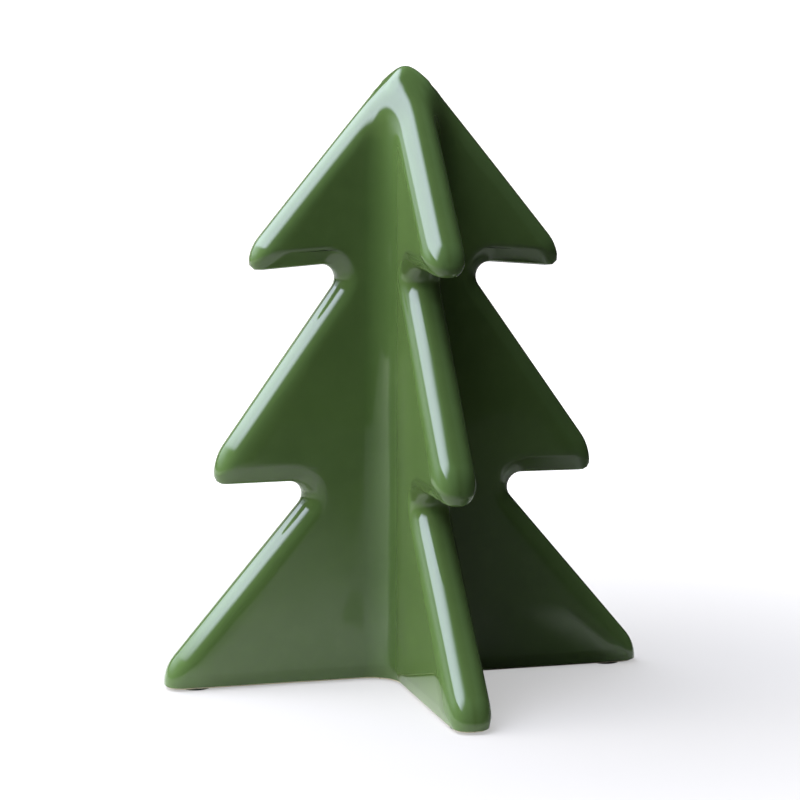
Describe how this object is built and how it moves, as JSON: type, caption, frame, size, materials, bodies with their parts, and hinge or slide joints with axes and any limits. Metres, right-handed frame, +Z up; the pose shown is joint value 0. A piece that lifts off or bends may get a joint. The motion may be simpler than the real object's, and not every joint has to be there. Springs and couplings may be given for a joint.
{
  "type": "decorative tree",
  "caption": "Stylised tree ornament of crossed upright fins with stepped tiers, glossy green glaze over a hollow earthenware casting, standing on felt dots.",
  "frame": {"origin": "on the trunk line at the level of the felt dots' undersides, where the tree stands", "axes": "+Z up the trunk line to the apex; the four fins run out along -Y (front), +X (right), +Y (back) and -X (left)"},
  "size_m": [0.1206, 0.1206, 0.15],
  "materials": {
    "biscuit": "matt, unglazed cream earthenware",
    "glaze": "high gloss leaf green",
    "felt": "matt dark felt"
  },
  "bodies": {
    "root": {"ceramic_body": "biscuit", "glaze_coat": "glaze", "felt_dot_front": "felt", "felt_dot_right": "felt", "felt_dot_back": "felt", "felt_dot_left": "felt"}
  },
  "joints": []
}
